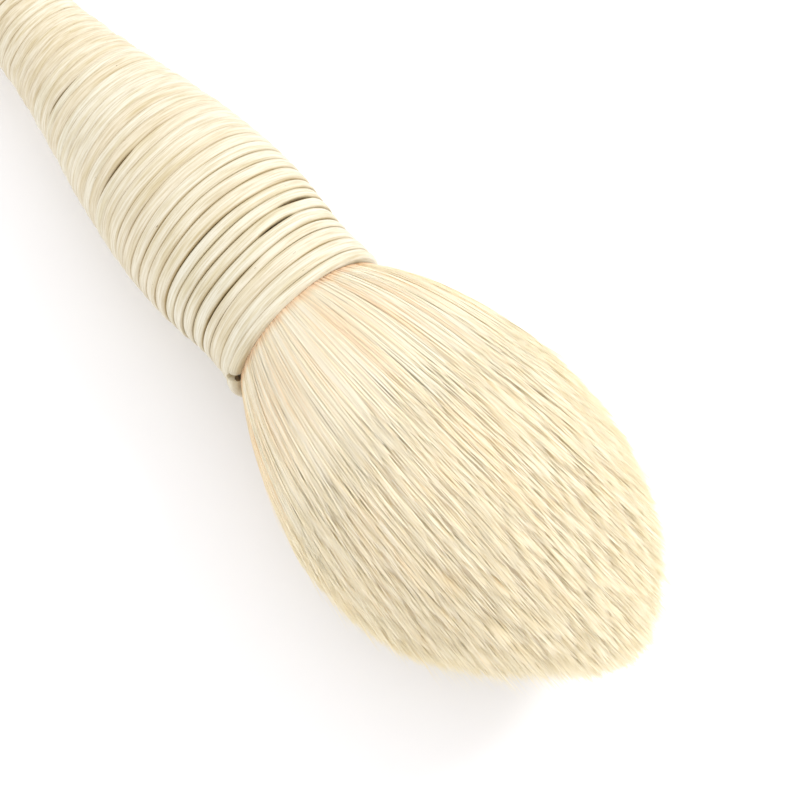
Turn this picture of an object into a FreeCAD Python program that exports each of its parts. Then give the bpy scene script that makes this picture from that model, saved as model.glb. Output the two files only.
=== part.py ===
import FreeCAD, Part
import Sketcher
import math
import os

# A rattan-bound brush with a full goat-hair tuft, lying at rest on a table.
# Every piece is drawn about its own local X axis: the mouth of the handle is at X = 0, the tuft
# points along +X and the tail along -X. One shared placement then lays the brush on the table.

DIMENSIONS = (
    # alias, millimetres, what it measures
    ("tuft_length", 54.0, "mouth of the handle to the longest hair"),
    ("belly_radius", 20.0, "tuft at its fullest"),
    ("belly_place", 25.0, "mouth to the fullest place of the tuft"),
    ("mouth_radius", 12.3, "tuft where it leaves the lip of the winding"),
    ("pressed_depth", 1.0, "how far the resting tuft is pressed flat"),
    ("root_radius", 8.7, "gathered hair inside the socket"),
    ("root_length", 15.0, "hair held behind the mouth"),
    ("core_belly_radius", 10.5, "inner hair column at its fullest"),
    ("core_length", 49.0, "mouth to the tip of the inner hair column"),
    ("core_root_radius", 5.0, "inner hair column inside the socket"),
    ("hair_gap", 0.1, "clearance between the two layers of hair"),
    ("thread_width", 0.6, "thread that ties the root"),
    ("thread_front", 8.0, "mouth to the first turn of the thread"),
    ("thread_back", 14.0, "mouth to the last turn of the thread"),
    ("handle_length", 126.0, "mouth to the end of the tail"),
    ("neck_radius", 11.6, "wound neck behind the lip"),
    ("neck_place", 8.0, "mouth to the end of the straight neck"),
    ("shoulder_radius", 12.5, "wound handle at its fullest"),
    ("shoulder_place", 17.5, "mouth to the fullest place of the handle"),
    ("waist_radius", 6.4, "wound handle where the taper ends"),
    ("waist_place", 66.0, "mouth to the end of the taper"),
    ("tail_radius", 5.8, "wound handle at the tail"),
    ("cane_thickness", 1.0, "one layer of split rattan"),
    ("cane_width", 1.75, "one turn of split rattan"),
    ("film_gap", 0.05, "glue film under the winding"),
    ("lip_rise", 0.7, "lip turns above the neck"),
    ("rim_setback", 1.0, "lip of the winding in front of the wooden rim"),
    ("cup_length", 62.0, "mouth to the back of the wooden cup"),
    ("socket_radius", 9.6, "socket for the hair"),
    ("socket_depth", 17.5, "mouth to the floor of the socket"),
    ("tenon_radius", 3.6, "bamboo tenon in the back of the cup"),
    ("tenon_length", 16.0, "length of the tenon"),
    ("tenon_gap", 0.05, "glue film round the tenon"),
    ("rod_bore_radius", 2.2, "hollow of the bamboo"),
    ("plug_length", 9.0, "wooden plug that closes the tail"),
    ("plug_gap", 0.05, "glue film round the plug"),
    ("tail_margin", 1.8, "bare bamboo behind the last turn"),
    ("tail_binding_length", 7.8, "last close turns at the tail"),
)

# Places, in millimetres behind the mouth, where one length of cane ends and the next begins.
LIP_END = 2.6
NECK_END = 11.7
SHOULDER_END = 30.5
BODY_END = 45.8
WAIST_END = 76.0

AXIS = FreeCAD.Vector(1, 0, 0)
TURN = 360.0

doc = FreeCAD.newDocument("RattanBrush")
sheet = doc.addObject("Spreadsheet::Sheet", "Dimensions")
for row, (alias, value, meaning) in enumerate(DIMENSIONS, start=1):
    sheet.set(f"A{row}", meaning)
    sheet.set(f"B{row}", str(value))
    sheet.setAlias(f"B{row}", alias)
doc.recompute()


def size(alias):
    return float(sheet.get(alias))


# ---------------------------------------------------------------- outlines


def eased(start, end, share):
    """Value between start and end that leaves and arrives level."""
    return start + (end - start) * (1 - math.cos(math.pi * share)) / 2


def handle_radius(place):
    """Radius over the winding, place mm behind the mouth."""
    stations = (
        (0.0, size("neck_radius")),
        (size("neck_place"), size("neck_radius")),
        (size("shoulder_place"), size("shoulder_radius")),
        (size("waist_place"), size("waist_radius")),
        (size("handle_length"), size("tail_radius")),
    )
    for (near, near_radius), (far, far_radius) in zip(stations, stations[1:]):
        if place <= far:
            return eased(near_radius, far_radius, (place - near) / (far - near))
    return stations[-1][1]


def wood_radius(place):
    """Radius of the wood or bamboo under the winding."""
    return handle_radius(place) - size("cane_thickness")


def flared_radius(place, root, belly):
    """Radius of hair that spreads from root at the mouth to belly at the fullest place."""
    return root + (belly - root) * math.sin(math.pi / 2 * place / size("belly_place"))


def domed_radius(place, length, belly):
    """Radius of the blunt dome from the fullest place to the tip."""
    share = (place - size("belly_place")) / (length - size("belly_place"))
    return belly * max(0.0, 1 - share ** 2.2) ** 0.6


def smooth_curve(points, end_direction=None):
    curve = Part.BSplineCurve()
    if end_direction is None:
        curve.interpolate(Points=points)
    else:
        first = points[1] - points[0]
        curve.interpolate(Points=points, InitialTangent=first.normalize(), FinalTangent=end_direction)
    return curve


def wood_curve(front, back, step=4.0):
    """Outside of the wood between two places behind the mouth."""
    steps = max(2, round((back - front) / step))
    places = [front + (back - front) * i / steps for i in range(steps + 1)]
    return smooth_curve([FreeCAD.Vector(-place, wood_radius(place), 0) for place in places])


def hair_curve(start, start_radius, belly, length):
    """Outside of a layer of hair, from the mouth over the belly to the tip on the axis."""
    belly_place = size("belly_place")
    points = [
        FreeCAD.Vector(start + (belly_place - start) * i / 4, 0, 0) for i in range(4)
    ]
    for point in points:
        point.y = flared_radius(point.x - start, start_radius, belly)
    for share in (0.0, 0.3, 0.55, 0.75, 0.88, 0.96):
        place = belly_place + (length - belly_place) * share
        points.append(FreeCAD.Vector(place, domed_radius(place, length, belly), 0))
    points.append(FreeCAD.Vector(length, 0, 0))
    return smooth_curve(points, FreeCAD.Vector(0, -1, 0))


# ---------------------------------------------------------------- feature helpers


def new_body(label):
    body = doc.addObject("PartDesign::Body", label)
    body.Label = label
    return body


def origin_plane(body, role):
    return next(feature for feature in body.Origin.OriginFeatures if feature.Role == role)


def new_sketch(body, name, role="XY_Plane", offset_expression=None):
    sketch = body.newObject("Sketcher::SketchObject", name)
    sketch.AttachmentSupport = [(origin_plane(body, role), "")]
    sketch.MapMode = "FlatFace"
    if offset_expression:
        sketch.setExpression("AttachmentOffset.Base.z", offset_expression)
    return sketch


def profile_sketch(body, name, curve, corners):
    """Closed half section: a curve, then straight runs through the corners back to its start."""
    sketch = new_sketch(body, name)
    sketch.addGeometry(curve)
    stops = [curve.EndPoint, *corners, curve.StartPoint]
    for start, end in zip(stops, stops[1:]):
        sketch.addGeometry(Part.LineSegment(start, end))
    return sketch


def turned(body, name, sketch):
    """Solid of revolution about the long axis."""
    feature = body.newObject("PartDesign::Revolution", name)
    feature.Profile = sketch
    feature.ReferenceAxis = (sketch, ["H_Axis"])
    feature.Angle = TURN
    doc.recompute()
    return feature


def hollowed(body, name, sketch):
    """Hollow of revolution about the long axis; the solid must lose volume."""
    before = body.Shape.Volume
    feature = body.newObject("PartDesign::Groove", name)
    feature.Profile = sketch
    feature.ReferenceAxis = (sketch, ["H_Axis"])
    feature.Angle = TURN
    doc.recompute()
    check_cut(body, name, before)
    return feature


def bored(body, name, place_expression, radius_expression, depth_expression, towards_tip):
    """Round blind hole along the long axis; the solid must lose volume."""
    before = body.Shape.Volume
    sketch = new_sketch(body, name + "Circle", "YZ_Plane", place_expression)
    circle = sketch.addGeometry(Part.Circle(FreeCAD.Vector(), FreeCAD.Vector(0, 0, 1), 1.0))
    radius = sketch.addConstraint(Sketcher.Constraint("Radius", circle, 1.0))
    sketch.addConstraint(Sketcher.Constraint("Coincident", circle, 3, -1, 1))
    sketch.setExpression(f"Constraints[{radius}]", radius_expression)
    pocket = body.newObject("PartDesign::Pocket", name)
    pocket.Profile = sketch
    pocket.Reversed = towards_tip
    pocket.setExpression("Length", depth_expression)
    doc.recompute()
    check_cut(body, name, before)
    return pocket


def check_cut(body, name, before):
    if body.Shape.Volume > before - 1.0:
        raise RuntimeError(f"{body.Label}: {name} cut nothing")


def cylinder(label, radius_expression, length_expression, back_expression):
    """Plain round piece whose back end stands at back_expression on the long axis."""
    piece = doc.addObject("Part::Cylinder", label)
    piece.Label = label
    piece.setExpression("Radius", radius_expression)
    piece.setExpression("Height", length_expression)
    piece.Placement.Rotation = FreeCAD.Rotation(FreeCAD.Vector(0, 0, 1), AXIS)
    piece.setExpression("Placement.Base.x", back_expression)
    return piece


# ---------------------------------------------------------------- wooden handle


def socket_cup():
    """Turned wooden cup: the swelling front of the handle, with the socket for the hair."""
    body = new_body("socket_cup")
    front, back = size("rim_setback"), size("cup_length")
    outside = wood_curve(front, back)
    corners = [FreeCAD.Vector(-back, 0, 0), FreeCAD.Vector(-front, 0, 0)]
    turned(body, "CupTurning", profile_sketch(body, "CupProfile", outside, corners))
    bored(
        body, "Socket", "-Dimensions.rim_setback", "Dimensions.socket_radius",
        "Dimensions.socket_depth - Dimensions.rim_setback", False,
    )
    bored(
        body, "TenonHole", "-Dimensions.cup_length", "Dimensions.tenon_radius + Dimensions.tenon_gap",
        "Dimensions.tenon_length + Dimensions.tenon_gap", True,
    )
    return body


def bamboo_rod():
    """Hollow bamboo stem with a tenon that plugs into the back of the cup."""
    body = new_body("bamboo_rod")
    front, back = size("cup_length"), size("handle_length")
    tenon, tenon_front = size("tenon_radius"), size("cup_length") - size("tenon_length")
    outside = wood_curve(front, back, 8.0)
    corners = [
        FreeCAD.Vector(-back, 0, 0),
        FreeCAD.Vector(-tenon_front, 0, 0),
        FreeCAD.Vector(-tenon_front, tenon, 0),
        FreeCAD.Vector(-front, tenon, 0),
    ]
    turned(body, "RodTurning", profile_sketch(body, "RodProfile", outside, corners))
    bored(
        body, "Hollow", "-Dimensions.handle_length", "Dimensions.rod_bore_radius",
        "Dimensions.handle_length - Dimensions.cup_length", True,
    )
    return body


def tail_plug():
    """Wooden plug that closes the open end of the bamboo."""
    return cylinder(
        "tail_plug", "Dimensions.rod_bore_radius - Dimensions.plug_gap", "Dimensions.plug_length",
        "-Dimensions.handle_length",
    )


# ---------------------------------------------------------------- hair


def core_profile(body, name, gap):
    """Half section of the inner hair column, larger all round by the gap."""
    root, back = size("core_root_radius") + gap, -size("root_length")
    length = size("core_length") + gap
    outside = hair_curve(0.0, root, size("core_belly_radius") + gap, length)
    corners = [FreeCAD.Vector(back, 0, 0), FreeCAD.Vector(back, root, 0)]
    return profile_sketch(body, name, outside, corners)


def hair_core():
    """Stiffer hair in the heart of the tuft, gathered straight in the socket."""
    body = new_body("hair_core")
    turned(body, "CoreTurning", core_profile(body, "CoreProfile", 0.0))
    return body


def tail_contact():
    """Place behind the mouth where the last ridge of cane touches the table."""
    return size("handle_length") - size("tail_margin") - size("cane_width") / 2


def resting_slope():
    """Fall of the table along the brush: it meets the last turn at the tail and the pressed belly."""
    drop = size("belly_radius") - size("pressed_depth") - size("tail_radius")
    return drop / (size("belly_place") + tail_contact())


def table_level():
    """Height of the table plane under the axis, at the mouth."""
    return -size("tail_radius") - resting_slope() * tail_contact()


def hair_mantle():
    """Outer coat of long goat hair: tied root, flare over the lip, full belly and blunt dome."""
    body = new_body("hair_mantle")
    root, back, tied = size("root_radius"), -size("root_length"), -size("thread_front") + 1.0
    mouth, lip_gap = size("socket_radius") - size("hair_gap"), 2 * size("hair_gap")
    outside = hair_curve(lip_gap, size("mouth_radius"), size("belly_radius"), size("tuft_length"))
    corners = [
        FreeCAD.Vector(back, 0, 0),
        FreeCAD.Vector(back, root, 0),
        FreeCAD.Vector(tied, root, 0),
        FreeCAD.Vector(tied + 2.0, mouth, 0),
        FreeCAD.Vector(lip_gap, mouth, 0),
    ]
    turned(body, "MantleTurning", profile_sketch(body, "MantleProfile", outside, corners))
    hollowed(body, "CoreHollow", core_profile(body, "HollowProfile", size("hair_gap")))
    press_flat(body)
    return body


def press_flat(body):
    """Flat patch under the belly, where the weight of the tuft presses it on the table."""
    before = body.Shape.Volume
    tilt = FreeCAD.Rotation(FreeCAD.Vector(0, 1, 0), math.degrees(math.atan(resting_slope())))
    block = body.newObject("PartDesign::SubtractiveBox", "TablePatch")
    block.AttachmentSupport = [(origin_plane(body, "XY_Plane"), "")]
    block.MapMode = "FlatFace"
    block.setExpression("Length", "Dimensions.tuft_length")
    block.setExpression("Width", "2 * Dimensions.belly_radius")
    block.setExpression("Height", "Dimensions.belly_radius")
    corner = tilt.multVec(FreeCAD.Vector(0, -size("belly_radius"), -size("belly_radius")))
    block.AttachmentOffset = FreeCAD.Placement(FreeCAD.Vector(0, 0, table_level()) + corner, tilt)
    doc.recompute()
    check_cut(body, "TablePatch", before)


def root_resin():
    """Cake of resin that seals the cut ends of the hair at the bottom of the socket."""
    return cylinder(
        "root_resin", "Dimensions.socket_radius - Dimensions.film_gap",
        "Dimensions.socket_depth - Dimensions.root_length - Dimensions.hair_gap",
        "-Dimensions.socket_depth",
    )


# ---------------------------------------------------------------- windings


def wound_sleeve(label, front, back, width, thickness, radius_of):
    """Close turns of one strand round the long axis: a sleeve with a rounded ridge for each turn."""
    turns = max(1, round((back - front) / width))
    pitch = (back - front) / turns
    seam = 0.45 * thickness
    edges = []
    for turn in range(turns):
        starts, crowns, ends = (front + (turn + share) * pitch for share in (0.0, 0.5, 1.0))
        edges.append(
            Part.Arc(
                FreeCAD.Vector(-starts, radius_of(starts) - seam, 0),
                FreeCAD.Vector(-crowns, radius_of(crowns), 0),
                FreeCAD.Vector(-ends, radius_of(ends) - seam, 0),
            ).toShape()
        )
    inner = thickness - size("film_gap")
    inside = [
        FreeCAD.Vector(-(front + i * pitch), radius_of(front + i * pitch) - inner, 0)
        for i in reversed(range(turns + 1))
    ]
    last_ridge = FreeCAD.Vector(-back, radius_of(back) - seam, 0)
    first_ridge = FreeCAD.Vector(-front, radius_of(front) - seam, 0)
    edges.append(Part.makePolygon([last_ridge, *inside, first_ridge]))
    section = Part.Face(Part.Wire([edge for shape in edges for edge in shape.Edges]))
    feature = doc.addObject("Part::Feature", label)
    feature.Label = label
    feature.Shape = section.revolve(FreeCAD.Vector(), AXIS, TURN)
    return feature


def cane_windings():
    """Split rattan over the whole handle, in the lengths of cane that follow one another."""
    cane, width = size("cane_thickness"), size("cane_width")
    lip_rise = size("lip_rise")
    last_turn = size("handle_length") - size("tail_margin")
    tail_start = last_turn - size("tail_binding_length")
    lip = wound_sleeve(
        "lip_binding", 0.0, LIP_END, width, cane + lip_rise, lambda place: handle_radius(place) + lip_rise
    )
    lengths = (
        ("neck_winding", LIP_END, NECK_END),
        ("shoulder_winding", NECK_END, SHOULDER_END),
        ("body_winding", SHOULDER_END, BODY_END),
        ("waist_winding", BODY_END, WAIST_END),
        ("stem_winding", WAIST_END, tail_start),
        ("tail_binding", tail_start, last_turn),
    )
    return [lip] + [
        wound_sleeve(label, front, back, width, cane, handle_radius) for label, front, back in lengths
    ]


def root_thread():
    """Thread that ties the root of the hair before it goes into the socket."""
    outside = size("root_radius") + size("film_gap") + size("thread_width")
    return wound_sleeve(
        "root_thread", size("thread_front"), size("thread_back"), size("thread_width"),
        size("thread_width"), lambda place: outside,
    )


# ---------------------------------------------------------------- assembly


def check_pieces(pieces):
    for thing in doc.Objects:
        if {"Invalid", "Error"} & set(thing.State):
            raise RuntimeError(f"{thing.Name}: {thing.State}")
    for piece in pieces:
        if piece.Shape.isNull() or not piece.Shape.isValid():
            raise RuntimeError(f"{piece.Label}: bad shape")


def lay_on_table(pieces):
    """Tip the brush back until tail and belly touch the table, with the origin under its middle."""
    angle = math.atan(resting_slope())
    tipped = FreeCAD.Placement(
        FreeCAD.Vector(), FreeCAD.Rotation(FreeCAD.Vector(0, 1, 0), -math.degrees(angle))
    )
    together = Part.makeCompound([piece.Shape.transformed(tipped.toMatrix(), True) for piece in pieces])
    middle = together.optimalBoundingBox(False).Center.x
    to_origin = FreeCAD.Placement(
        FreeCAD.Vector(-middle, 0, -table_level() * math.cos(angle)), FreeCAD.Rotation()
    )
    for piece in pieces:
        piece.setExpression("Placement.Base.x", None)
        piece.Placement = to_origin * tipped * piece.Placement
    doc.recompute()


pieces = [
    socket_cup(),
    bamboo_rod(),
    tail_plug(),
    hair_core(),
    hair_mantle(),
    root_resin(),
    root_thread(),
    *cane_windings(),
]
doc.recompute()
check_pieces(pieces)
lay_on_table(pieces)
check_pieces(pieces)

os.makedirs("parts", exist_ok=True)
for piece in pieces:
    piece.Shape.exportStep(f"parts/{piece.Label}.step")
    box = piece.Shape.BoundBox
    print(
        f"{piece.Label}: {piece.Shape.Volume / 1000:.2f} cm3,"
        f" X {box.XMin:.2f}..{box.XMax:.2f}, Y {box.YMin:.2f}..{box.YMax:.2f},"
        f" Z {box.ZMin:.3f}..{box.ZMax:.2f}"
    )
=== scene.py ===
"""Looks of the rattan-bound goat-hair brush, lying on a white table.

The brush is drawn along its own axis. A place on it has three numbers: how far it stands ahead of
the mouth of the handle, how far from the axis, and its angle round the axis from straight up.
"""

import math
from typing import Callable, NamedTuple

import bpy
import numpy as np
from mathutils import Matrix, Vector


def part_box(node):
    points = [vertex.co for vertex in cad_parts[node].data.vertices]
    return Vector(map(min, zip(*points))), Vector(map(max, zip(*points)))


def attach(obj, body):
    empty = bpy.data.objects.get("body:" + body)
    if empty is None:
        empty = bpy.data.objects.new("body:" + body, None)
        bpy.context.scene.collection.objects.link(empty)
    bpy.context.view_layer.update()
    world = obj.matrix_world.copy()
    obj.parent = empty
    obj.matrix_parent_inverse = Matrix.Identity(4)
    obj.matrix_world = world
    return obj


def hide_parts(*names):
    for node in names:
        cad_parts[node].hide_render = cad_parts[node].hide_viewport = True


MM = 0.001
FULL_TURN = 2 * math.pi

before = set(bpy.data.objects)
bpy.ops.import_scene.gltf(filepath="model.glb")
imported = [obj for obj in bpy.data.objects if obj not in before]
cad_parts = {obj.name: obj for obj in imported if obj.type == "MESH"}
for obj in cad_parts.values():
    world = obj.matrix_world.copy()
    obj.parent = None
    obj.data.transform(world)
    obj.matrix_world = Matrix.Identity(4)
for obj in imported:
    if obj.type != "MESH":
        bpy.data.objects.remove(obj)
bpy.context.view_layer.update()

# ---------------------------------------------------------------- the brush's own axis


def middle(node):
    """Middle of a CAD node's box."""
    low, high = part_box(node)
    return (low + high) / 2


WINDINGS = (
    "lip_binding",
    "neck_winding",
    "shoulder_winding",
    "body_winding",
    "waist_winding",
    "stem_winding",
    "tail_binding",
)
AXIS = np.array((middle("lip_binding") - middle("tail_binding")).normalized())
SIDE = np.array((0.0, 1.0, 0.0))
UP = np.cross(AXIS, SIDE)


def corners(node):
    """All points of a CAD node's mesh."""
    return np.array([vertex.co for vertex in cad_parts[node].data.vertices], float)


lip_middle = np.array(middle("lip_binding"))
MOUTH = lip_middle + AXIS * ((corners("lip_binding") - lip_middle) @ AXIS).max()
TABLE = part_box("hair_mantle")[0].z


def measured(node):
    """How far ahead of the mouth, and how far from the axis, a CAD node's own points stand."""
    offsets = corners(node) - MOUTH
    ahead = offsets @ AXIS
    return ahead, np.linalg.norm(offsets - ahead[:, None] * AXIS, axis=1)


def outline(nodes, back, front, step):
    """Largest radius of the nodes at even places from back to front, for interpolation."""
    ahead, radius = (np.concatenate(part) for part in zip(*(measured(node) for node in nodes)))
    places = np.linspace(back, front, round((front - back) / step) + 1)
    widest = [radius[np.abs(ahead - place) <= 0.75 * step].max() for place in places]
    return places, np.convolve(np.pad(widest, 1, mode="edge"), (0.25, 0.5, 0.25), mode="valid")


def in_frame(ahead, radius, angle):
    """Points in the row frame."""
    ahead, radius, angle = np.broadcast_arrays(ahead, radius, angle)
    across = np.cos(angle)[..., None] * UP + np.sin(angle)[..., None] * SIDE
    return MOUTH + ahead[..., None] * AXIS + radius[..., None] * across


TUFT_LENGTH = measured("hair_mantle")[0].max()
LIP_RADIUS = measured("lip_binding")[1].max()
HANDLE_OUTLINE = outline(
    WINDINGS[1:],
    back=measured("tail_binding")[0].min(),
    front=measured("neck_winding")[0].max(),
    step=1.3 * MM,
)

# ---------------------------------------------------------------- helpers


def eased(share):
    """A smooth step from 0 to 1."""
    share = np.clip(share, 0, 1)
    return share * share * (3 - 2 * share)


class Drift:
    """Smooth random values along a line: random knots, eased from one to the next."""

    def __init__(self, rng, start, end, spacing, low=-1.0, high=1.0):
        self.start, self.spacing = start, spacing
        self.knots = rng.uniform(low, high, int((end - start) / spacing) + 3)

    def __call__(self, where):
        steps = np.clip((np.asarray(where) - self.start) / self.spacing, 0, len(self.knots) - 1.001)
        knot = steps.astype(int)
        share = eased(steps - knot)
        return self.knots[knot] * (1 - share) + self.knots[knot + 1] * share


def mesh_object(name, points, faces, smooth=True):
    mesh = bpy.data.meshes.new(name)
    mesh.from_pydata(points, [], faces)
    mesh.update()
    mesh.polygons.foreach_set("use_smooth", [smooth] * len(mesh.polygons))
    piece = bpy.data.objects.new(name, mesh)
    bpy.context.scene.collection.objects.link(piece)
    return piece


def tube_mesh(name, rings, smooth=True):
    """Tubes from an array of rings shaped (tube, step, corner, 3)."""
    tubes, steps, sides, _ = rings.shape
    index = np.arange(tubes * steps * sides).reshape(tubes, steps, sides)
    beside = np.roll(index, -1, axis=2)
    quads = np.stack([index[:, :-1], beside[:, :-1], beside[:, 1:], index[:, 1:]], axis=-1).reshape(-1, 4)
    ends = [*index[:, 0, ::-1].tolist(), *index[:, -1].tolist()]
    mesh = bpy.data.meshes.new(name)
    corner_list = np.concatenate([quads.ravel(), np.array(ends, int).ravel()])
    lengths = np.concatenate([np.full(len(quads), 4), np.full(len(ends), sides)])
    mesh.vertices.add(rings.size // 3)
    mesh.vertices.foreach_set("co", rings.astype(np.float32).ravel())
    mesh.loops.add(len(corner_list))
    mesh.loops.foreach_set("vertex_index", corner_list.astype(np.int32))
    mesh.polygons.add(len(lengths))
    mesh.polygons.foreach_set("loop_start", np.concatenate([[0], np.cumsum(lengths)[:-1]]).astype(np.int32))
    mesh.polygons.foreach_set("loop_total", lengths.astype(np.int32))
    mesh.polygons.foreach_set("use_smooth", (lengths == 4) & smooth)
    mesh.update(calc_edges=True)
    piece = bpy.data.objects.new(name, mesh)
    bpy.context.scene.collection.objects.link(piece)
    return piece, corner_list


def point_values(piece, name, values):
    attribute = piece.data.attributes.new(name, "FLOAT", "POINT")
    attribute.data.foreach_set("value", np.asarray(values, np.float32).ravel())


def corner_map(piece, name, coordinates):
    layer = piece.data.uv_layers.new(name=name)
    layer.data.foreach_set("uv", np.asarray(coordinates, np.float32).ravel())


# ---------------------------------------------------------------- materials


def new_material(name):
    material = bpy.data.materials.new(name)
    material.use_nodes = True
    tree = material.node_tree
    return material, tree, tree.nodes["Principled BSDF"]


def add(tree, kind, **settings):
    node = tree.nodes.new(kind)
    for setting, value in settings.items():
        setattr(node, setting, value)
    return node


def ramp(tree, value, stops):
    node = add(tree, "ShaderNodeValToRGB")
    elements = node.color_ramp.elements
    while len(elements) < len(stops):
        elements.new(0.5)
    for element, (position, colour) in zip(elements, stops):
        element.position = position
        element.color = (*colour, 1)
    tree.links.new(value, node.inputs["Fac"])
    return node.outputs["Color"]


def blend(tree, share, first, second, mode="MIX"):
    node = add(tree, "ShaderNodeMix", data_type="RGBA", blend_type=mode)
    for socket, value in (("Factor", share), ("A", first), ("B", second)):
        usable = (entry for entry in node.inputs if entry.name == socket and entry.enabled)
        target = next(entry for entry in usable if entry.type in ("RGBA", "VALUE"))
        if isinstance(value, bpy.types.NodeSocket):
            tree.links.new(value, target)
        else:
            target.default_value = value if socket == "Factor" else (*value, 1)
    return next(entry for entry in node.outputs if entry.enabled)


def noise(tree, vector, scale, detail=3.0, roughness=0.5):
    node = add(tree, "ShaderNodeTexNoise")
    node.inputs["Scale"].default_value = scale
    node.inputs["Detail"].default_value = detail
    node.inputs["Roughness"].default_value = roughness
    tree.links.new(vector, node.inputs["Vector"])
    return node.outputs["Fac"]


def stretched(tree, vector, scale):
    node = add(tree, "ShaderNodeMapping")
    node.inputs["Scale"].default_value = scale
    tree.links.new(vector, node.inputs["Vector"])
    return node.outputs["Vector"]


def bump(tree, shader, height, strength, distance):
    node = add(tree, "ShaderNodeBump")
    node.inputs["Strength"].default_value = strength
    node.inputs["Distance"].default_value = distance
    tree.links.new(height, node.inputs["Height"])
    tree.links.new(node.outputs["Normal"], shader.inputs["Normal"])


def stored(tree, name):
    return add(tree, "ShaderNodeAttribute", attribute_name=name).outputs["Fac"]


CREAM = (0.69, 0.64, 0.505)
STRAW = (0.655, 0.585, 0.435)


def cane_material():
    """Split rattan: pale straw, fine fibre lines along the strand, small dark flecks, and painted shade
    darkening the strand's edges next to the seams.
    """
    material, tree, shader = new_material("split_rattan")
    along = add(tree, "ShaderNodeUVMap", uv_map="Strand").outputs["UV"]
    fibres = noise(tree, stretched(tree, along, (0.16, 4.2, 1.0)), 1.0, 5.0, 0.65)
    broad = noise(tree, stretched(tree, along, (0.09, 1.3, 1.0)), 1.0, 3.0)
    flecks = noise(tree, stretched(tree, along, (0.55, 2.6, 1.0)), 1.0, 2.0)
    tone = ramp(tree, stored(tree, "tone"), ((0.0, STRAW), (0.55, CREAM), (1.0, (0.70, 0.675, 0.56))))
    streaks = ramp(tree, fibres, ((0.38, (0.66, 0.58, 0.42)), (0.56, (1.0, 1.0, 1.0))))
    patches = ramp(tree, broad, ((0.33, (0.85, 0.80, 0.66)), (0.55, (1.0, 1.0, 1.0))))
    dots = ramp(tree, flecks, ((0.215, (0.30, 0.22, 0.13)), (0.25, (1.0, 1.0, 1.0))))
    colour = blend(tree, 0.6, tone, streaks, "MULTIPLY")
    colour = blend(tree, 0.9, colour, patches, "MULTIPLY")
    colour = blend(tree, 0.85, colour, dots, "MULTIPLY")
    # Painted shade, with a little dirt: the strand darkens to tan towards its edges, more beside a strong
    # seam, as shade in the grooves between the turns.
    edge = ramp(tree, stored(tree, "seam"), ((0.05, (1.0, 1.0, 1.0)), (0.9, (0.66, 0.55, 0.36))))
    colour = blend(tree, 1.0, colour, edge, "MULTIPLY")
    tree.links.new(colour, shader.inputs["Base Color"])
    shader.inputs["Roughness"].default_value = 0.42
    shader.inputs["Specular IOR Level"].default_value = 0.4
    bump(tree, shader, fibres, 0.6, 0.1 * MM)
    return material


def hair_material(name, dark, middle_tone, light):
    """Goat hair: cream, each hair its own tone, lightest at its tip and at the mouth, see-through. Its
    darkest colour is painted shade where the hair goes in under the lip.
    """
    material, tree, shader = new_material(name)
    # The colour at 0 is painted shade: a dark orange band where the hair goes in under the lip.
    stops = ((0.0, (0.60, 0.38, 0.17)), (0.1, dark), (0.5, middle_tone), (1.0, light))
    tone = ramp(tree, stored(tree, "tone"), stops)
    tree.links.new(tone, shader.inputs["Base Color"])
    shader.inputs["Roughness"].default_value = 0.5
    shader.inputs["Specular IOR Level"].default_value = 0.35
    shader.inputs["Sheen Weight"].default_value = 0.45
    shader.inputs["Sheen Roughness"].default_value = 0.5
    through = add(tree, "ShaderNodeBsdfTranslucent")
    tree.links.new(tone, through.inputs["Color"])
    both = add(tree, "ShaderNodeMixShader")
    both.inputs["Fac"].default_value = 0.5
    tree.links.new(shader.outputs["BSDF"], both.inputs[1])
    tree.links.new(through.outputs["BSDF"], both.inputs[2])
    tree.links.new(both.outputs["Shader"], tree.nodes["Material Output"].inputs["Surface"])
    return material


def grained_material(name, light, dark, stretch, roughness):
    """Wood, bamboo or another plain stuff with a grain along the brush."""
    material, tree, shader = new_material(name)
    place = add(tree, "ShaderNodeTexCoord").outputs["Object"]
    grain = noise(tree, stretched(tree, place, stretch), 1.0, 5.0, 0.6)
    colour = ramp(tree, grain, ((0.32, dark), (0.62, light)))
    tree.links.new(colour, shader.inputs["Base Color"])
    shader.inputs["Roughness"].default_value = roughness
    bump(tree, shader, grain, 0.3, 0.05 * MM)
    return material


# ---------------------------------------------------------------- split rattan windings

# One strand of cane is wound from the mouth to the tail. Places along it are counted in turns; each
# turn begins under the brush. Every turn is (its width in mm, how strong the seam behind it is).
TURNS = {
    "lip_binding": ((1.7, 0.35),),
    "neck_winding": ((2.0, 0.65), (2.1, 0.15), (1.3, 1.0), (1.9, 0.45), (1.7, 0.65)),
    "shoulder_winding": (
        (1.6, 0.25), (1.5, 0.95), (2.0, 0.65), (1.7, 0.45), (1.7, 0.8), (1.6, 0.25),
        (1.8, 0.75), (1.7, 0.45), (1.9, 0.2), (1.5, 0.35), (1.7, 0.6),
    ),
    "body_winding": (
        (1.9, 0.35), (1.6, 0.45), (1.9, 0.2), (1.9, 0.45), (1.6, 0.4), (1.5, 0.15),
        (1.4, 0.35), (1.9, 0.2), (1.5, 0.7),
    ),
    "waist_winding": (
        (1.8, 0.15), (1.9, 0.6), (1.9, 0.2), (2.1, 0.35), (1.6, 0.35), (1.8, 0.25),
    ),
}
# Where the seam behind a turn stands open: turn, from and to in degrees, width in mm.
OPENINGS = (
    (3, -64, -4, 0.16),
    (4, 0, 30, 0.26),
    (5, 22, 55, 0.42),
    (7, -80, -10, 0.09),
    (10, -66, -22, 0.08),
    (12, -62, -20, 0.08),
    (16, -60, -16, 0.42),
    (25, -66, -10, 0.48),
    (27, -62, -18, 0.20),
    (33, 100, 150, 0.22),
    (46, 40, 85, 0.20),
)
STEPS_PER_TURN = 96
# The strand widens from nothing over this share of a turn, and is cut between these two places.
LEAD_IN = 0.25
BREAK = (0.284, 0.300)
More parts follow.
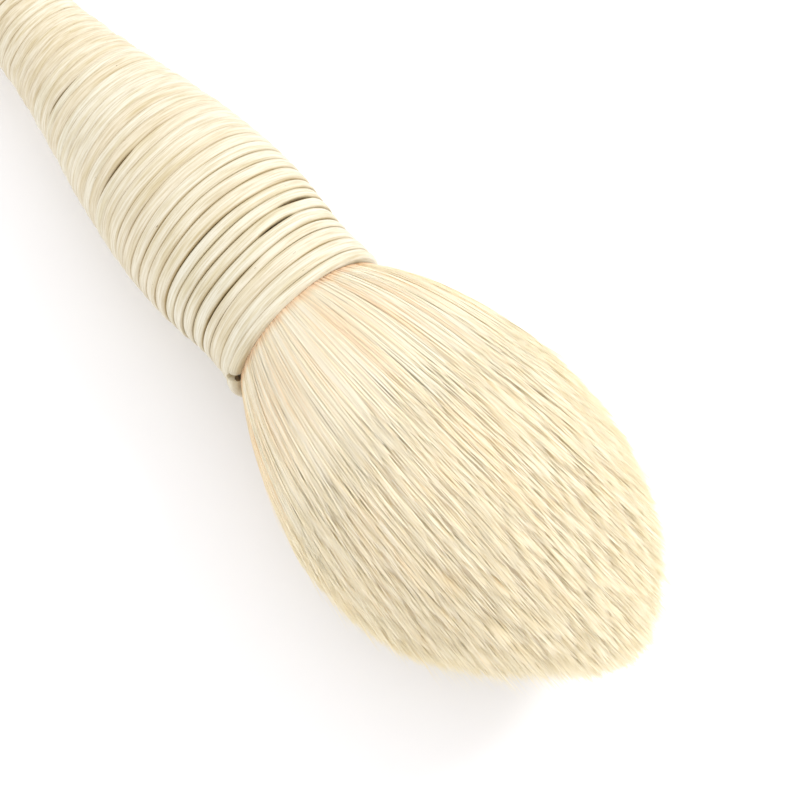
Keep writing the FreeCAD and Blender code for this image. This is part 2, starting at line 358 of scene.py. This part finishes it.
# Points of the strand's face, from its back edge to its front edge, as shares of its half width.
ACROSS = np.array((-1.0, -0.95, -0.84, -0.6, -0.25, 0.25, 0.6, 0.84, 0.95, 1.0))
CANE_WIDTH = 1.75
CANE_THICKNESS = 0.95 * MM
# The first turn lies this far behind the front of the CAD lip, and the cut end may rise this far above it.
LIP_SETBACK = 0.95 * MM
LOOSE_END_RISE = 0.8 * MM
# How far in mm the front edge of the first turn's face falls below its middle.
LIP_SHOULDER = 1.25
# The ripple of the rings sets in over this length from the mouth, and over the same length before the
# tail both their lean and their ripple die out.
END_ZONE = 9 * MM


class Winding:
    """The course of the cane from the mouth of the handle to its tail."""

    def __init__(self):
        rng = np.random.default_rng(17)
        self.first_turn = {}
        widths = []
        strengths = []
        front = measured("lip_binding")[0].max() - LIP_SETBACK
        self.front = front
        for node, behind in zip(WINDINGS, WINDINGS[1:] + ("",)):
            length = front - (measured(behind)[0].max() if behind else measured(node)[0].min())
            known = TURNS.get(node, ())
            spare = max(0, round((length / MM - sum(width for width, _ in known)) / CANE_WIDTH))
            turns = [*known, *zip(rng.uniform(1.45, 2.0, spare), rng.uniform(0.15, 0.8, spare))]
            fit = length / sum(width for width, _ in turns)
            self.first_turn[node] = len(widths)
            widths += [width * fit for width, _ in turns]
            strengths += [strength for _, strength in turns]
            front -= length
        self.count = len(widths)
        self.marks = np.arange(self.count + 1) - 0.5
        self.places = self.front - np.concatenate([[0], np.cumsum(widths)])
        self.strengths = np.array([0.8, *strengths])
        self.wander = Drift(rng, -2, self.count + 2, 0.31)
        self.lift = Drift(rng, -2, self.count + 2, 0.41)
        self.tone = Drift(rng, -2, self.count + 2, 0.55, 0.1, 0.95)
        self.fade = Drift(rng, -2, self.count + 2, 0.19, 0.45, 1.15)

    def seam(self, turn):
        """Edge between a turn and the next. It changes over from ring to ring under the brush."""
        part = turn - np.floor(turn) - 0.5
        shaped = np.floor(turn) + 0.5 + part * (0.45 + 0.55 * 4 * part**2)
        place = np.interp(shaped, self.marks, self.places)
        free = np.clip(turn - 0.5, 0, 1) * (turn < self.count - 1)
        place = place - 0.09 * MM * self.wander(turn) * free
        first = np.interp(0, self.marks, self.places)
        lead_in = self.front - (self.front - first) * eased(1 + turn / LEAD_IN)
        return np.where(turn < 0, lead_in, place)

    def strength(self, turn):
        return np.interp(turn, self.marks, self.strengths) * self.fade(turn)

    def sway(self, ahead, angle):
        """The rings lean back a little over the top of the handle, and ripple together."""
        lean = np.interp(ahead, (-END_ZONE, 0), (-1.45, -1.0)) * (1 - np.cos(angle - math.radians(-22)))
        ripple = 0.07 * np.sin(3 * angle + ahead / (2.6 * MM))
        ripple = ripple + 0.04 * np.sin(5 * angle - ahead / (3.1 * MM))
        from_mouth = np.clip(-ahead / END_ZONE, 0, 1)
        from_tail = np.clip((ahead - self.places[-1]) / END_ZONE, 0, 1)
        return (lean + ripple * from_mouth) * from_tail * MM


def opened(turn, angle):
    """How far the seam behind a place on the strand stands open."""
    width = np.zeros_like(turn)
    degrees = (np.degrees(angle) + 180) % 360 - 180
    for number, start, stop, gap in OPENINGS:
        inside = np.clip((degrees - start) / (stop - start), 0, 1)
        width += np.where(np.floor(turn) == number, gap * np.sin(math.pi * inside) ** 0.6, 0)
    return width * MM


def edges(winding, turn, angle):
    """Front and back edge of the strand: the seams before and behind it, less what stands open."""
    front = np.where(turn - 1 < -LEAD_IN, winding.front, winding.seam(turn - 1))
    front = front - (0.01 * MM + opened(turn - 1, angle) / 2)
    back = winding.seam(turn) + (0.01 * MM + opened(turn, angle) / 2)
    return front, back


def crown_radius(winding, turn, centre, half):
    """How far the middle of the strand's face stands from the axis. Its cut end stands proud."""
    rise = np.interp(turn, (0.0, 0.28, 0.5, 0.8, 1.1, 2.2), (0.1, 0.85, 0.15, 0.0, 0.1, 0.0)) * MM
    crown = np.interp(centre, *HANDLE_OUTLINE) + rise + 0.07 * MM * winding.lift(turn)
    crown = np.minimum(crown, LIP_RADIUS + LOOSE_END_RISE)
    return crown - np.clip(1 - half / (0.5 * MM), 0, 1) * 0.5 * MM


def rounding(winding, turn):
    """How far each point across the face falls below its middle, more beside a strong seam."""
    in_lip = turn < 1.05
    before = np.where(in_lip, LIP_SHOULDER, 0.08 + 0.24 * winding.strength(turn - 1)) * MM
    behind = (0.08 + 0.24 * winding.strength(turn)) * MM
    roundness = np.where(in_lip, 1.9, 2.6)[:, None]
    fall = 1 - (1 - np.abs(ACROSS) ** roundness) ** 0.6
    return np.where(ACROSS > 0, before[:, None], behind[:, None]) * fall


def wind(name, winding, start, stop):
    """A run of the cane as a closed, flattened tube."""
    turn = np.linspace(start, stop, round((stop - start) * STEPS_PER_TURN) + 1)
    angle = math.pi + FULL_TURN * turn
    front, back = edges(winding, turn, angle)
    centre = (front + back) / 2
    half = np.maximum((front - back) / 2, 0.02 * MM)
    crown = crown_radius(winding, turn, centre, half)
    ahead = centre[:, None] + half[:, None] * ACROSS
    radius = crown[:, None] - rounding(winding, turn)
    radius[:, [0, -1]] -= 0.08 * MM
    under = (crown - CANE_THICKNESS - 0.25 * MM * (turn < 1))[:, None]
    ahead = np.concatenate([ahead, ahead[:, -1:], ahead[:, :1]], axis=1)
    radius = np.concatenate([radius, under, under], axis=1)
    ahead = ahead + winding.sway(centre, angle)[:, None]
    piece, corner_list = tube_mesh(name, in_frame(ahead, radius, angle[:, None])[None])
    spread = np.broadcast_to(np.append(ACROSS, (1.0, -1.0)), ahead.shape)
    # Painted shade: the seam values darken the strand towards its edges, more beside a strong seam.
    seam_shade_strength = np.where(spread > 0, winding.strength(turn - 1)[:, None], winding.strength(turn)[:, None])
    point_values(piece, "tone", np.broadcast_to(winding.tone(turn)[:, None], ahead.shape))
    point_values(piece, "seam", np.abs(spread) ** 5 * (0.3 + 0.7 * seam_shade_strength))
    length = (turn * FULL_TURN * LIP_RADIUS / MM)[:, None] + 0 * ahead
    across = np.floor(turn)[:, None] * 7 + spread * (half / MM)[:, None]
    strand = np.stack([length, across], axis=-1).reshape(-1, 2)
    corner_map(piece, "Strand", strand[corner_list])
    corner_map(piece, "OFBake", bake_rows(corner_list, len(turn), ahead.shape[1]))
    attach(piece, "root")
    return piece


def bake_rows(corner_list, steps, sides):
    """Texture layout for a wound strand: one row for each turn, so that the strand isn't cut up."""
    rows = math.ceil(steps / STEPS_PER_TURN)
    step, side = corner_list // sides, corner_list % sides
    middle_step = np.repeat(step[: len(step) // 4 * 4].reshape(-1, 4).min(axis=1), 4)
    row = np.concatenate([middle_step, np.full(len(step) - len(middle_step), step.max())]) // STEPS_PER_TURN
    row = np.minimum(row, rows - 1)
    run = np.clip((step - row * STEPS_PER_TURN) / STEPS_PER_TURN, 0, 1)
    return np.stack([0.01 + 0.98 * run, (row + 0.08 + 0.84 * side / sides) / rows], axis=-1)


def cut_end_pith(winding, material):
    """Dark pith in the cut face where the cane starts, beside the mouth."""
    turn = np.array([BREAK[0]])
    angle = math.pi + FULL_TURN * turn[0]
    middle_place = float((winding.front + winding.seam(turn)[0]) / 2)
    corner = np.arange(16) * FULL_TURN / 16
    layers = []
    for proud, size in ((-0.1, 0.38), (0.05, 0.38), (0.02, 0.2)):
        ahead = middle_place + size * MM * np.cos(corner)
        radius = LIP_RADIUS - 0.85 * MM + size * MM * np.sin(corner) * 0.9
        layers.append(in_frame(ahead, radius, angle + proud * MM / LIP_RADIUS))
    piece, _ = tube_mesh("cut_cane_pith", np.array(layers)[None])
    piece.data.materials.append(material)
    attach(piece, "root")


def build_windings(material, pith):
    winding = Winding()
    for node, following in zip(WINDINGS, WINDINGS[1:] + ("",)):
        start = winding.first_turn[node]
        stop = winding.first_turn[following] if following else winding.count + 0.4
        if node == "lip_binding":
            end = wind("cane_start", winding, -LEAD_IN, BREAK[0])
            end.data.materials.append(material)
            start = BREAK[1]
        piece = wind(node + "_cane", winding, start, stop)
        piece.data.materials.append(material)
        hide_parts(node)
    cut_end_pith(winding, pith)


# ---------------------------------------------------------------- hair

HAIR_SIDES = 3
LOCK_COUNT = 3000
# Radius that the outermost hairs have at the mouth, how much they gain, and over what length.
ROOT_FLOW = 12.0 * MM
FLOW_GAIN = 12.5 * MM
FLOW_LENGTH = 21 * MM
# Each hair thins to its tip over this length.
TAPER_LENGTH = 3.5 * MM
tuft_places, tuft_radii = outline(["hair_mantle"], 0.3 * MM, TUFT_LENGTH - 0.05 * MM, 1.0 * MM)


def flow_radius(ahead):
    """Outermost hairs leave the mouth steeply and go on spreading a little to their tips."""
    return ROOT_FLOW + FLOW_GAIN * (1 - np.exp(-np.asarray(ahead) / FLOW_LENGTH))


def dome_radius(ahead):
    """Radius of the CAD tuft, which ends in a blunt dome."""
    return np.interp(ahead, tuft_places, tuft_radii, left=flow_radius(0), right=0)


def tip_place(ring):
    """Where a hair that starts at a share of the mouth's radius comes out of the dome."""
    places = np.linspace(16 * MM, TUFT_LENGTH, 200)
    shares = np.minimum.accumulate(dome_radius(places) / flow_radius(places))
    return np.interp(-ring, -shares, places)


def trimmed(ring, angle):
    """The hair is worn shorter all round, and most on the lower side of the dome that faces -Y."""
    worn_side = np.clip(np.cos(angle - math.radians(-125)), 0, 1) ** 1.5
    return 0.6 * MM + 4.4 * MM * 4 * ring * (1 - ring) * worn_side


def squashed(across, ahead):
    """Past the mouth the tuft is a little narrower from side to side, mostly on its +Y side."""
    narrowing = np.where(across > 0, 0.07, 0.01)
    return across * (1 - narrowing * eased(2.5 * np.clip(ahead / TUFT_LENGTH, 0, 1)))


def settle(points):
    """Hair can't go through the table: what would is pressed into a thin flat layer."""
    rest = 0.9 * MM
    height = (points[..., 2] - TABLE) / rest
    points[..., 2] = TABLE + 0.08 * MM + rest * np.logaddexp(0, 2.2 * height) / 2.2
    return points


def locks(rng, count):
    """Places of the locks across the mouth, each with its own bend, length and tone."""
    ring = np.sqrt(rng.uniform(0, 1, count))
    angle = rng.uniform(0, FULL_TURN, count)
    return {
        "at": np.stack([ring * np.cos(angle), ring * np.sin(angle)], axis=-1),
        "bend": rng.normal(0, 1, (count, 2)),
        "short": rng.normal(0, 1, count),
        "tone": rng.uniform(0, 1, count),
    }


def nearest(points, others, chunk=2000):
    """Index of the nearest other point for each point."""
    return np.concatenate(
        [
            np.argmin(((points[first : first + chunk, None] - others[None]) ** 2).sum(-1), axis=1)
            for first in range(0, len(points), chunk)
        ]
    )


class Layer(NamedTuple):
    """Hairs of one kind. The ring is given by its inner and outer share of the mouth's area."""

    name: str
    parts: int
    hairs: int
    ring: tuple
    steps: int
    seen: float
    thick: float
    gather: float
    shortening: Callable
    flyaway: float = 0.0


LAYERS = (
    Layer(
        "coat_hair", 3, 3200, (0.962**2, 1.0), 11, 60 * MM, 0.2 * MM, 0.08,
        lambda rng, count: rng.gamma(1.0, 1.3, count),
    ),
    Layer(
        "side_hair", 2, 3900, (0.80**2, 0.97**2), 9, 24 * MM, 0.2 * MM, 0.16,
        lambda rng, count: rng.gamma(1.0, 0.55, count),
    ),
    Layer(
        "tip_hair", 5, 5000, (0.0, 0.82**2), 7, 12 * MM, 0.17 * MM, 0.2,
        lambda rng, count: rng.gamma(1.0, 0.55, count),
    ),
    Layer(
        "loose_hair", 1, 3600, (0.85, 1.0), 9, 30 * MM, 0.1 * MM, 0.0,
        lambda rng, count: rng.uniform(-2.0, 20, count), 2.0,
    ),
    Layer(
        "wispy_tips", 1, 4200, (0.05, 0.97), 6, 9 * MM, 0.1 * MM, 0.0,
        lambda rng, count: -rng.gamma(1.5, 0.5, count), 0.6,
    ),
)


def strayed(rng, start, ahead, lock, groups, layer):
    """Places of the hairs across the axis: spread, gathered into locks, bent and a little wavy."""
    count, steps = ahead.shape
    grown = np.clip(ahead / TUFT_LENGTH, 0, 1)[..., None]
    pull = layer.gather * grown**0.7
    across = start[:, None] * (1 - pull) + groups["at"][lock][:, None] * pull
    across = across * flow_radius(ahead)[..., None]
    across[..., 1] = squashed(across[..., 1], ahead)
    across = across + groups["bend"][lock][:, None] * grown**1.5 * 0.2 * MM
    across = across + rng.normal(0, 0.15 + layer.flyaway, (count, 1, 2)) * grown**1.5 * MM
    phase = rng.uniform(0, FULL_TURN, (count, 1, 2))
    share = np.linspace(0, 1, steps)[None, :, None]
    waves = rng.uniform(1.0, 2.6, (count, 1, 1)) * share * FULL_TURN / 2
    return across + 0.06 * MM * np.sin(phase + waves)


def flat_prisms(rng, line, across, thick, profile):
    """Rings of thin flattened prisms along the lines, one face turned roughly away from the axis."""
    along = np.gradient(line, axis=1)
    along /= np.linalg.norm(along, axis=-1, keepdims=True)
    outward = across[..., :1] * UP + across[..., 1:] * SIDE
    outward = outward + rng.normal(0, 2.6 * MM, (len(line), 1, 3))
    sideways = np.cross(along, outward)
    sideways /= np.linalg.norm(sideways, axis=-1, keepdims=True)
    upward = np.cross(sideways, along)
    turns = (np.arange(HAIR_SIDES) - 0.5) * FULL_TURN / HAIR_SIDES
    up_part = 0.5 * np.cos(turns)[:, None] * upward[..., None, :]
    side_part = np.sin(turns)[:, None] * sideways[..., None, :]
    width = (thick * rng.uniform(0.65, 1.25, len(line)))[:, None] * profile
    return line[..., None, :] + (up_part + side_part) * width[..., None, None] / 2


def grow(name, rng, groups, layer, material):
    """Hairs as thin tapered tubes that follow the spread of the tuft and end on its dome."""
    count = layer.hairs
    ring = np.sqrt(rng.uniform(*layer.ring, count))
    angle = rng.uniform(0, FULL_TURN, count)
    shortening = layer.shortening(rng, count)
    start = np.stack([ring * np.cos(angle), ring * np.sin(angle)], axis=-1)
    lock = nearest(start, groups["at"])
    tip = tip_place(np.minimum(ring, 0.995)) - trimmed(ring, angle) - shortening * MM
    tip = tip + groups["short"][lock] * 0.4 * MM
    root = np.maximum(-1.5 * MM, tip - layer.seen)
    share = np.linspace(0, 1, layer.steps)
    ahead = root[:, None] + (tip - root)[:, None] * share
    across = strayed(rng, start, ahead, lock, groups, layer)
    line = settle(MOUTH + ahead[..., None] * AXIS + across[..., :1] * UP + across[..., 1:] * SIDE)
    taper = 0.16 + 0.84 * np.clip((tip[:, None] - ahead) / TAPER_LENGTH, 0, 1) ** 0.6
    profile = taper * (0.6 + 0.4 * eased(ahead / (16 * MM)))
    rings = flat_prisms(rng, line, across, layer.thick, profile)
    piece, corner_list = tube_mesh(name, rings, smooth=False)
    own = 0.45 * groups["tone"][lock] + 0.55 * rng.uniform(0, 1, count)
    # Painted shade: hairs whose tips lie deeper in the tuft are darker.
    own = own - 0.2 * np.clip(shortening / 2.5, 0, 1)
    near_mouth = np.exp(-np.maximum(ahead, 0) / (9 * MM))
    tone = 0.12 + own[:, None] * 0.6 + 0.28 * np.maximum(share, near_mouth)
    # Painted shade: behind the mouth the tone falls to the dark root colour, under the lip.
    tone = tone * np.clip(1.0 + ahead / (0.6 * MM), 0, 1)
    point_values(piece, "tone", np.repeat(tone[..., None], HAIR_SIDES, axis=-1))
    corner_map(piece, "OFBake", bake_cells(corner_list, count, layer.steps))
    piece.data.materials.append(material)
    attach(piece, "root")


def bake_cells(corner_list, count, steps):
    """Texture layout for hairs: each has one small cell of the picture."""
    per_row = math.ceil(math.sqrt(count))
    hair = corner_list // (steps * HAIR_SIDES)
    step = corner_list // HAIR_SIDES % steps
    side = corner_list % HAIR_SIDES
    column = hair % per_row + 0.2 + 0.6 * side / (HAIR_SIDES - 1)
    row = hair // per_row + 0.1 + 0.8 * step / (steps - 1)
    return np.stack([column / per_row, row / per_row], axis=-1)


def tuft_body(material):
    """The mass of hair under the outer layer, with fine ridges along the hairs. Its darker hair colour is
    painted shade, darker still towards the dome, and its tone rises and falls with the ridges.
    """
    rng = np.random.default_rng(5)
    corner_count = 420
    places = np.linspace(-1.2 * MM, TUFT_LENGTH - 2.5 * MM, 110)
    angles = np.linspace(0, FULL_TURN, corner_count, endpoint=False)
    around = np.arange(corner_count)
    bends = 3 * np.sin(np.arange(len(places)) / 9)
    ridges = np.stack([Drift(rng, 0, 500, 1.7)(around + bend) for bend in bends])
    ridges = (ridges + np.roll(ridges, 1, axis=0) + np.roll(ridges, -1, axis=0)) / 3
    rings = np.linspace(0.02, 0.96, 160)[:, None]
    ends = tip_place(rings) - trimmed(rings, angles) - 1.6 * MM
    share = np.stack([np.where(ends >= place, rings, 0.02).max(axis=0) for place in places])
    radius = np.maximum(flow_radius(places)[:, None] * share - 0.4 * MM, 0.3 * MM)
    radius = radius + 0.15 * MM * ridges
    upward = radius * np.cos(angles)
    sideways = squashed(radius * np.sin(angles), places[:, None])
    points = MOUTH + places[:, None, None] * AXIS + upward[..., None] * UP + sideways[..., None] * SIDE
    piece, _ = tube_mesh("tuft_body", settle(points)[None])
    piece.data.materials.append(material)
    # Painted shade: the body darkens from the mouth towards the dome.
    painted_shade_by_place = np.interp(places, (0.0, 12 * MM, 22 * MM), (1.0, 0.85, 0.75))[:, None]
    point_values(piece, "tone", painted_shade_by_place + 0.15 * ridges)
    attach(piece, "root")
    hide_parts("hair_mantle")


def build_tuft():
    outer = hair_material("goat_hair", (0.985, 0.825, 0.60), (0.995, 0.945, 0.80), (1.0, 0.975, 0.89))
    # A darker copy of the hair material: painted shade for the mass of hair under the outer layer.
    under = hair_material("goat_hair_shade", (0.95, 0.73, 0.45), (0.99, 0.86, 0.64), (0.995, 0.94, 0.79))
    tuft_body(under)
    rng = np.random.default_rng(21)
    groups = locks(rng, LOCK_COUNT)
    for layer in LAYERS:
        for part in range(layer.parts):
            name = f"{layer.name}_{part}" if layer.parts > 1 else layer.name
            grow(name, rng, groups, layer, outer)


# ---------------------------------------------------------------- table, camera, light

CAMERA_AZIMUTH = math.radians(-40.2)
CAMERA_HEIGHT = math.radians(70.1)
CAMERA_DISTANCE = 179.5 * MM
CAMERA_LENS = 67.5
AIM = Vector(MOUTH) + Vector((12.0, 2.3, 0.0)) * MM


def build_camera():
    away = Vector(
        (
            math.cos(CAMERA_AZIMUTH) * math.cos(CAMERA_HEIGHT),
            math.sin(CAMERA_AZIMUTH) * math.cos(CAMERA_HEIGHT),
            math.sin(CAMERA_HEIGHT),
        )
    )
    data = bpy.data.cameras.new("camera")
    data.sensor_width = 36
    data.lens = CAMERA_LENS
    data.clip_start = 0.01
    camera = bpy.data.objects.new("camera", data)
    camera.location = AIM + away * CAMERA_DISTANCE
    camera.rotation_mode = "QUATERNION"
    camera.rotation_quaternion = (-away).to_track_quat("-Z", "Y")
    bpy.context.scene.collection.objects.link(camera)
    bpy.context.scene.camera = camera


def beside_camera(right, beyond, height):
    """A place in the room, seen from the camera: to its right, beyond the brush, above the table."""
    to_right = Vector((-math.sin(CAMERA_AZIMUTH), math.cos(CAMERA_AZIMUTH), 0))
    from_camera = Vector((-math.cos(CAMERA_AZIMUTH), -math.sin(CAMERA_AZIMUTH), 0))
    return to_right * right + from_camera * beyond + Vector((0, 0, height))


def area_light(name, place, size, power, colour):
    data = bpy.data.lights.new(name, "AREA")
    data.shape = "DISK"
    data.size = size
    data.energy = power
    data.color = colour
    light = bpy.data.objects.new(name, data)
    light.location = place
    light.rotation_mode = "QUATERNION"
    light.rotation_quaternion = (-Vector(place)).to_track_quat("-Z", "Y")
    bpy.context.scene.collection.objects.link(light)


def build_room():
    half = 3.0
    table = mesh_object(
        "table_top",
        [(-half, -half, TABLE), (half, -half, TABLE), (half, half, TABLE), (-half, half, TABLE)],
        [(0, 1, 2, 3)],
    )
    material, tree, shader = new_material("white_table")
    shader.inputs["Base Color"].default_value = (0.93, 0.93, 0.94, 1)
    shader.inputs["Roughness"].default_value = 0.9
    shader.inputs["Specular IOR Level"].default_value = 0.1
    table.data.materials.append(material)
    world = bpy.data.worlds.new("white_room")
    world.use_nodes = True
    world.node_tree.nodes["Background"].inputs["Color"].default_value = (1.0, 0.99, 1.0, 1)
    world.node_tree.nodes["Background"].inputs["Strength"].default_value = 1.17
    bpy.context.scene.world = world
    area_light("key", beside_camera(0.7, 0.45, 0.85), 0.5, 7.5, (1.0, 0.985, 0.97))
    area_light("fill", beside_camera(-0.8, -0.25, 0.5), 0.6, 1.0, (1.0, 0.985, 0.99))
    bpy.context.scene.view_settings.view_transform = "Standard"


# ---------------------------------------------------------------- inside of the handle


def finish_inner_parts():
    """The CAD nodes that stay get their materials."""
    for name, light, dark, stretch, roughness, nodes in (
        # The wood under the cane is dark brown, partly painted shade so that the open seams between the
        # turns read dark.
        (
            "turned_wood", (0.42, 0.29, 0.16), (0.27, 0.17, 0.08), (120, 900, 900), 0.6,
            ("socket_cup", "tail_plug"),
        ),
        ("scraped_bamboo", (0.83, 0.72, 0.48), (0.70, 0.56, 0.33), (60, 1500, 1500), 0.45, ("bamboo_rod",)),
        ("amber_resin", (0.45, 0.26, 0.10), (0.34, 0.18, 0.06), (300, 300, 300), 0.15, ("root_resin",)),
        ("waxed_thread", (0.86, 0.80, 0.68), (0.72, 0.64, 0.50), (2500, 2500, 2500), 0.8, ("root_thread",)),
        ("core_hair", (0.86, 0.77, 0.58), (0.70, 0.58, 0.38), (60, 2500, 2500), 0.6, ("hair_core",)),
    ):
        material = grained_material(name, light, dark, stretch, roughness)
        for node in nodes:
            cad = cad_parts[node]
            cad.data.materials.clear()
            cad.data.materials.append(material)


# ---------------------------------------------------------------- build

build_camera()
build_room()
pith = grained_material("cane_pith", (0.16, 0.10, 0.04), (0.05, 0.03, 0.012), (900, 900, 900), 0.8)
build_windings(cane_material(), pith)
build_tuft()
finish_inner_parts()
